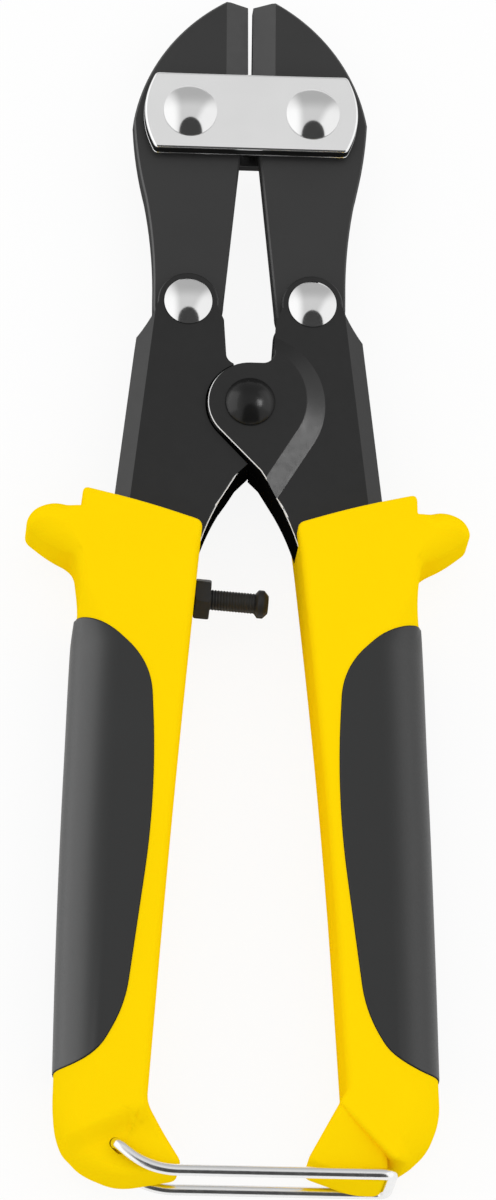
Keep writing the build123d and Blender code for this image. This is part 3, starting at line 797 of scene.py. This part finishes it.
class CUTTER_OT_steelwork(bpy.types.Operator):
    """Finish the jaws and levers"""
    bl_idname = "cutter.steelwork"
    bl_label = "Steelwork"

    def execute(self, context):
        colours = context.scene.cutter_colours
        finishes = {
            "jaw": black_coating("jaw_coating", colours.jaw_black, 0.36, 0.5),
            # levers: painted highlight on their rounded edges and painted shade on their lower walls
            "lever": edge_highlight_coating("lever_coating", colours.lever_black, 0.34, 0.32),
        }
        for name, node in frame["nodes"].items():
            for ending, material in finishes.items():
                if name.endswith(ending):
                    node.data.materials.clear()
                    node.data.materials.append(material)
        return {"FINISHED"}


def plate_surface(corners, profile, spine_x, spine_y):
    """Plate: rings that follow an outline, each with its own inset and height, closed on both faces by rays
    to a spine along X"""
    path = resampled(rounded_path(corners, True), step=0.25)
    along = np.gradient(np.vstack([path[-2], path, path[1]]), axis=0)[1:-2]
    along /= np.linalg.norm(along, axis=1, keepdims=True)
    path = path[:-1]
    inward = np.stack([along[:, 1], -along[:, 0]], axis=1)
    rings = [np.column_stack([path + inset * inward, np.full(len(path), z)]) for inset, z in profile]
    spine = np.column_stack([np.clip(path[:, 0], -spine_x, spine_x), np.full(len(path), spine_y)])
    rows = [np.column_stack([spine, np.full(len(path), profile[0][1])])] + rings
    rows += [np.column_stack([spine, np.full(len(path), profile[-1][1])])]
    return np.stack(rows)


def strap_profile(near, far):
    """Inset and height round a strap's rim: a thin burr at the inner face, a sheared wall, and a quarter
    circle up to the outer face"""
    turn = np.linspace(0, np.pi / 2, 10)
    inset = STRAP_SHEAR + STRAP_ROUND * (1 - np.cos(turn))
    height = far - STRAP_ROUND + STRAP_ROUND * np.sin(turn)
    burr = [(STRAP_RINGS[0], near), (STRAP_BURR, near), (0.0, near + STRAP_BURR)]
    wall = [(STRAP_SHEAR, near + rise) for rise in STRAP_WALL]
    return burr + wall + list(zip(inset, height)) + [(STRAP_RINGS[1], far)]


class CUTTER_OT_straps(bpy.types.Operator):
    """Stamp the two plated link straps"""
    bl_idname = "cutter.straps"
    bl_label = "Link Straps"

    def execute(self, context):
        plate, tree, shader = bright_plate("strap_plate", 0.16, (0.08, 1, 1))
        # Painted shade: the sheared walls are dark grey, for the dark band they would reflect along the rim
        painted_wall_shade(tree, shader, 0.03, 0.5)
        for node, side in (("front_link_strap", 1), ("rear_link_strap", -1)):
            low, high = node_box(node)
            near, far = sorted((abs(low[2] - MID), abs(high[2] - MID)))
            grid = plate_surface(STRAP, strap_profile(near, far), STRAP_SPINE, (low[1] + high[1]) / 2)
            grid[..., 2] = MID + side * grid[..., 2]
            place(grid_piece(node + "_plate", grid, close_v=True, sharp=30), node, plate)
        return {"FINISHED"}


# Rivets

def turned(profile, centre, sides=96):
    """Surface of revolution about a line up through the centre: profile points are radius and height"""
    profile = np.asarray(profile, float)
    angle = np.linspace(0, 2 * np.pi, sides, endpoint=False)
    x = centre[0] + profile[:, :1] * np.cos(angle)
    y = centre[1] + profile[:, :1] * np.sin(angle)
    z = centre[2] + np.repeat(profile[:, 1:], sides, axis=1)
    return np.dstack([x, y, z])


def dome_profile(radius, seat, top):
    """Rivet head from its middle to its shank: part of a ball, with a small round skirt down to the seat"""
    rise = top - seat - RIVET_SKIRT
    ball = (radius**2 + rise**2) / (2 * rise)
    turn = np.linspace(0, np.arcsin(radius / ball), 28)
    cap = np.stack([ball * np.sin(turn), top - ball + ball * np.cos(turn)], axis=1)
    turn = np.linspace(0, np.pi / 2, 6)[1:]
    across = radius - RIVET_TUCK * (1 - np.cos(turn))
    skirt = np.stack([across, seat + RIVET_SKIRT * (1 - np.sin(turn))], axis=1)
    return np.vstack([cap, skirt, [(radius - RIVET_STEP, seat)]])


class CUTTER_OT_rivets(bpy.types.Operator):
    """Turn the domed rivets"""
    bl_idname = "cutter.rivets"
    bl_label = "Rivets"

    def execute(self, context):
        chrome, tree, shader = bright_plate("rivet_plate", 0.11, shade=0.87)
        # Painted shadow: the skirt under each head is dark grey, a thin contact shadow round the head
        painted_wall_shade(tree, shader, 0.03, 0.5)
        black = black_coating("pivot_black", context.scene.cutter_colours.lever_black, 0.22, 0.22)
        for node in frame["nodes"]:
            if not node.endswith("_rivet"):
                continue
            low, high = node_box(node)
            seat = node_box("front_link_strap" if "strap" in node else "right_lever")[1][2] - MID
            if "toggle" in node:
                seat -= BOSS_RISE
            head = dome_profile((high[0] - low[0]) / 2, seat, high[2] - MID)
            profile = np.vstack([head, head[::-1] * (1, -1)])
            centre = ((low[0] + high[0]) / 2, (low[1] + high[1]) / 2, MID)
            piece = grid_piece(node + "_turned", turned(profile, centre), close_v=True, sharp=50)
            place(piece, node, black if node == "pivot_rivet" else chrome)
        return {"FINISHED"}


# Stop screw and latch

def tube(path, radius, sides=28):
    """Round wire along a path: circles square to the path's direction, all turned by one guide direction"""
    along = np.gradient(path, axis=0)
    along /= np.linalg.norm(along, axis=1, keepdims=True)
    # No stretch of the wire runs along the guide
    guide = np.tile((0.13, 0.97, 0.2), (len(path), 1))
    across = np.cross(along, guide)
    across /= np.linalg.norm(across, axis=1, keepdims=True)
    up = np.cross(across, along)
    angle = np.linspace(0, 2 * np.pi, sides, endpoint=False)[None, :, None]
    return path[:, None] + radius * (np.cos(angle) * across[:, None] + np.sin(angle) * up[:, None])


def latch_path(radius):
    """Middle line of the latch wire, from its front end in the left foot to the loop's end at the hook, and
    back the same way behind the middle plane"""
    low, high = node_box("wire_latch")
    lift = high[2] - MID - radius
    run_y = low[1] + radius
    hinge_x, hinge_y = LATCH[:2]
    front = [
        (hinge_x, hinge_y, lift - WIRE_DEPTH, 0), (hinge_x, hinge_y, lift, 1.5),
        (LATCH_BEND_X, run_y, lift, 5.0), (high[0] - radius, run_y, lift, 2.0),
    ]
    back = [(x, y, -z, setback) for x, y, z, setback in front[::-1]]
    return resampled(rounded_path(front + back, False), step=0.3) + (0, 0, MID)


class CUTTER_OT_latch(bpy.types.Operator):
    """Bend the latch wire"""
    bl_idname = "cutter.latch"
    bl_label = "Latch"

    def execute(self, context):
        radius = sizes()["wire_radius"]
        path = latch_path(radius)
        grid = tube(path, radius)
        ends = path[[0, -1]][:, None] + np.zeros((1, grid.shape[1], 1))
        grid = np.concatenate([ends[:1], grid, ends[1:]])
        piece = grid_piece("latch_wire", grid, close_v=True, sharp=50)
        plate, _, _ = bright_plate("wire_plate", 0.2)
        place(piece, "wire_latch", plate)
        return {"FINISHED"}


def along_stop(grid):
    """Points given as distance along the stop screw's axis and two distances across it, in the frame"""
    axis = STOP_AXIS
    across = np.array((-axis[1], axis[0], 0))
    up = np.array((0, 0, 1.0))
    low, high = node_box("stop_lock_nut")
    return (low + high) / 2 + grid[..., :1] * axis + grid[..., 1:2] * across + grid[..., 2:] * up


def ringed(along, radius, angle):
    """Rings about the screw's axis, one for each distance along it, with a radius for each angle"""
    radius = np.broadcast_to(radius, (len(along), len(angle)))
    along = np.broadcast_to(np.asarray(along)[:, None], radius.shape)
    return along_stop(np.dstack([along, radius * np.cos(angle), radius * np.sin(angle)]))


def screw_surface(pitch):
    """Stop screw: the thread's radius is a rounded saw of the distance along the axis less one pitch for
    each turn, and the head is a short round button with a conical back and a chamfered face"""
    angle = np.linspace(0, 2 * np.pi, 64, endpoint=False)
    along = np.arange(SCREW_START, SCREW_NECK, pitch / 12)
    phase = (along[:, None] / pitch - angle[None] / (2 * np.pi)) % 1
    thread = THREAD_ROOT + THREAD_DEPTH * smoothstep(0.0, THREAD_FLANK, 0.5 - np.abs(phase - 0.5))
    head = np.array([
        (SCREW_NECK, 1.6), (SCREW_NECK, 1.7), (SCREW_NECK + 0.5, 2.34), (SCREW_NECK + 0.62, HEAD_RADIUS),
        (SCREW_END - 0.9, HEAD_RADIUS), (SCREW_END - 0.75, 2.33), (SCREW_END - 0.08, 1.6),
        (SCREW_END, 1.45), (SCREW_END, 0.0),
    ])
    tip = ringed(along[:1], 0, angle)
    return np.concatenate([tip, ringed(along, thread, angle), ringed(head[:, 0], head[:, 1:], angle)])


def nut_surface():
    """Lock nut: six flats, cut back by a cone at both ends"""
    turn = np.radians(NUT_TURN)
    angle = np.linspace(0, 2 * np.pi, 96, endpoint=False) + turn
    flats = NUT_FLAT / np.cos((angle - turn + np.pi / 6) % (np.pi / 3) - np.pi / 6)
    levels = NUT_HALF * NUT_LEVELS
    from_end = np.minimum(levels / NUT_HALF + 1, NUT_FAR - levels / NUT_HALF)
    cone = NUT_CONE + NUT_CONE_SLOPE * NUT_HALF * from_end
    radius = np.minimum(flats[None], cone[:, None])
    radius[0] = radius[-1] = NUT_BORE
    return ringed(levels, radius, angle)


class CUTTER_OT_stop(bpy.types.Operator):
    """Cut the stop screw's thread and its lock nut"""
    bl_idname = "cutter.stop"
    bl_label = "Stop Screw"

    def execute(self, context):
        finish = black_coating("screw_black", context.scene.cutter_colours.screw_black, 0.5, 0.28)
        screw = screw_surface(sizes()["thread_pitch"])
        place(grid_piece("stop_screw_threaded", screw, close_v=True, sharp=40), "stop_screw", finish)
        place(grid_piece("stop_nut_hex", nut_surface(), close_v=True, sharp=25), "stop_lock_nut", finish)
        return {"FINISHED"}


# Stage

CAMERA_RIGHT = Vector((0.9978, 0.0058, 0.0663))
CAMERA_UP = Vector((-0.0256, 0.9530, 0.3018))
CAMERA_BACK = Vector((-0.0615, -0.3028, 0.9511))
CAMERA_TARGET = Vector((0.2487, -3.27, MID)) * MM
CAMERA_AWAY = 1.2
CAMERA_NEAR = 0.05
SENSOR_WIDTH = 36
FRAME_PIXELS = 1200              # height of the picture
FOCAL_PIXELS = 7078.7            # focal length, in pixels of the picture
FLOOR_REACH = 3                  # metres from the middle to each side
FLOOR_DROP = 0.02                # millimetres under the tool
FLOOR_OWN_WHITE = 0.9            # share of the floor's own white in what the camera and reflections see

# Studio: x, y and z are parts of a direction, and a strength of 1 is white
WORLD_LIT = 0.88                 # the world's light on matt surfaces
SKY = (0.80, 0.55)               # strength, and the dimmer one towards the jaws
SKY_UP = (0.3, 0.9)              # y, from the one to the other
LEFT_OUT = (-0.30, -0.70)        # x, from the sky to the left screen
LEFT_MORE = 0.50                 # how much brighter the screen is
RIGHT_OUT = (0.25, 0.60)         # the same on the right, where x leans with y
RIGHT_MORE = 0.34
RIGHT_LEAN = -0.4
ARCH_X = 0.06                    # middle of the dark arch
ARCH_HALF = 0.5
ARCH_FOOT = -0.62                # y, where the arch begins to narrow
ARCH_RISE = 0.52
ARCH_EDGE = (0.9, 1.1)           # share of the way to the arch's rim, from dark to sky
ARCH_OVER = (0.10, 0.20)         # z, from the sky near the floor to the arch
ARCH_DARK = 0.06


def floor_finish():
    """Pale matt floor that keeps the shadow. The camera and reflections see mostly its own white"""
    colour = bpy.context.scene.cutter_colours.floor
    material, tree, shader = plain_finish("pale_floor", colour, 0.9, specular=0.1)
    output = first_node(tree, "OUTPUT_MATERIAL")
    glow = tree.nodes.new("ShaderNodeEmission")
    glow.inputs["Strength"].default_value = 1.0
    mix = tree.nodes.new("ShaderNodeMixShader")
    tree.links.new(calc(tree, "MULTIPLY", seen_rays(tree), FLOOR_OWN_WHITE), mix.inputs["Fac"])
    tree.links.new(shader.outputs["BSDF"], mix.inputs[1])
    tree.links.new(glow.outputs["Emission"], mix.inputs[2])
    tree.links.new(mix.outputs["Shader"], output.inputs["Surface"])
    return material


def studio_world():
    """Pale studio. Reflections show it brighter at the sides, a little dimmer towards the jaws, and with a
    dark arch towards the viewer, where the camera stands between the screens"""
    world = bpy.data.worlds.new("studio")
    world.use_nodes = True
    tree = world.node_tree
    background = first_node(tree, "BACKGROUND")
    background.inputs["Color"].default_value = (1, 1, 1, 1)
    x, y, z = parts_of(tree, "Generated")
    left = ramp(tree, x, *LEFT_OUT, 0, LEFT_MORE)
    right = ramp(tree, calc(tree, "MULTIPLY_ADD", y, RIGHT_LEAN, x), *RIGHT_OUT, 0, RIGHT_MORE)
    sky = calc(tree, "ADD", calc(tree, "ADD", left, right), ramp(tree, y, *SKY_UP, *SKY))
    wide = calc(tree, "DIVIDE", calc(tree, "SUBTRACT", x, ARCH_X), ARCH_HALF)
    tall = calc(tree, "DIVIDE", calc(tree, "MAXIMUM", calc(tree, "SUBTRACT", y, ARCH_FOOT), 0.0), ARCH_RISE)
    arch = calc(tree, "ADD", calc(tree, "MULTIPLY", wide, wide), calc(tree, "MULTIPLY", tall, tall))
    arch = calc(tree, "MULTIPLY", ramp(tree, arch, *ARCH_EDGE, 1, 0), ramp(tree, z, *ARCH_OVER, 0, 1))
    shown = calc(tree, "MULTIPLY_ADD", calc(tree, "SUBTRACT", ARCH_DARK, sky), arch, sky)
    more = calc(tree, "SUBTRACT", shown, WORLD_LIT)
    strength = calc(tree, "MULTIPLY_ADD", more, seen_rays(tree), WORLD_LIT)
    tree.links.new(strength, background.inputs["Strength"])
    return world


def softbox(name, place_at, size, power, gloss_on=None, aim=(0, 0, 0)):
    """Soft light that looks at the tool. It lights matt surfaces, and reflections show the world's screens
    in its place; or it shows only as gloss, on the pieces of one collection"""
    data = bpy.data.lights.new(name, "AREA")
    data.shape = "RECTANGLE"
    data.size, data.size_y = size
    data.energy = power
    light = bpy.data.objects.new(name, data)
    light.location = place_at
    light.rotation_euler = (Vector(aim) - Vector(place_at)).to_track_quat("-Z", "Y").to_euler()
    light.visible_camera = False
    light.visible_glossy = gloss_on is not None
    light.visible_diffuse = gloss_on is None
    light.light_linking.receiver_collection = gloss_on
    bpy.context.scene.collection.objects.link(light)


def named_pieces(name, endings):
    """Collection of the pieces whose names end in one of the endings, for a gloss light to shine on"""
    group = bpy.data.collections.new(name)
    for piece in bpy.context.scene.objects:
        if piece.name.endswith(endings):
            group.objects.link(piece)
    return group


def long_lens_camera():
    """Camera with a long lens, high over the tool and a little towards the feet of its grips"""
    data = bpy.data.cameras.new("camera")
    data.sensor_fit = "AUTO"
    data.sensor_width = SENSOR_WIDTH
    data.lens = SENSOR_WIDTH * FOCAL_PIXELS / FRAME_PIXELS
    data.clip_start = CAMERA_NEAR
    camera = bpy.data.objects.new("camera", data)
    camera.matrix_world = Matrix((CAMERA_RIGHT, CAMERA_UP, CAMERA_BACK)).transposed().to_4x4()
    camera.location = CAMERA_TARGET + CAMERA_AWAY * CAMERA_BACK
    bpy.context.scene.collection.objects.link(camera)
    return camera


class CUTTER_OT_stage(bpy.types.Operator):
    """Lay the floor, hang the lights and set the camera"""
    bl_idname = "cutter.stage"
    bl_label = "Stage"

    def execute(self, context):
        scene = context.scene
        scene.view_settings.view_transform = "Standard"
        sides = (-FLOOR_REACH / MM, FLOOR_REACH / MM)
        floor = grid_piece("floor", np.array([[(x, y, -FLOOR_DROP) for y in sides] for x in sides]))
        floor.data.materials.append(floor_finish())
        scene.world = studio_world()
        softbox("left_screen", (-0.70, 0.28, 0.52), (1.1, 0.65), 1.05)
        softbox("right_screen", (0.66, 0.20, 0.60), (1.1, 0.65), 1.05)
        softbox("top_screen", (0.0, 0.2, 1.1), (1.0, 0.8), 0.6)
        painted_shade = named_pieces("dark_pieces", DARK_ENDINGS)
        levers = named_pieces("lever_pieces", LEVER_ENDINGS)
        softbox("left_gloss", (-0.66, 0.16, 0.24), (0.9, 0.6), 2.5, painted_shade)
        softbox("left_card", (-0.15, -0.04, 0.001), (0.2, 0.3), 0.28, painted_shade, (-0.15, -0.04, 1))
        softbox("right_gloss", (0.62, 0.22, 0.32), (0.9, 0.5), 1.0, painted_shade)
        softbox("slope_gloss", (0.48, 0.06, 0.66), (0.3, 0.22), 2.4, levers)
        scene.camera = long_lens_camera()
        return {"FINISHED"}


class CUTTER_PT_panel(bpy.types.Panel):
    """Buttons and settings for the bolt cutters"""
    bl_label = "Bolt Cutters"
    bl_space_type = "VIEW_3D"
    bl_region_type = "UI"
    bl_category = "Bolt Cutters"

    def draw(self, context):
        for operator in OPERATORS:
            self.layout.operator(operator.bl_idname)
        for group in (context.scene.cutter_sizes, context.scene.cutter_colours):
            for name in type(group).__annotations__:
                self.layout.prop(group, name)


OPERATORS = (
    CUTTER_OT_grips, CUTTER_OT_pads, CUTTER_OT_steelwork, CUTTER_OT_straps,
    CUTTER_OT_rivets, CUTTER_OT_stop, CUTTER_OT_latch, CUTTER_OT_stage,
)
CLASSES = (CutterSizes, CutterColours, *OPERATORS, CUTTER_PT_panel)


def register():
    for cls in CLASSES:
        bpy.utils.register_class(cls)
    bpy.types.Scene.cutter_sizes = PointerProperty(type=CutterSizes)
    bpy.types.Scene.cutter_colours = PointerProperty(type=CutterColours)


def unregister():
    del bpy.types.Scene.cutter_sizes
    del bpy.types.Scene.cutter_colours
    for cls in reversed(CLASSES):
        bpy.utils.unregister_class(cls)


def main():
    register()
    bpy.ops.cutter.grips()
    bpy.ops.cutter.pads()
    bpy.ops.cutter.steelwork()
    bpy.ops.cutter.straps()
    bpy.ops.cutter.rivets()
    bpy.ops.cutter.stop()
    bpy.ops.cutter.latch()
    bpy.ops.cutter.stage()


if __name__ == "__main__":
    main()
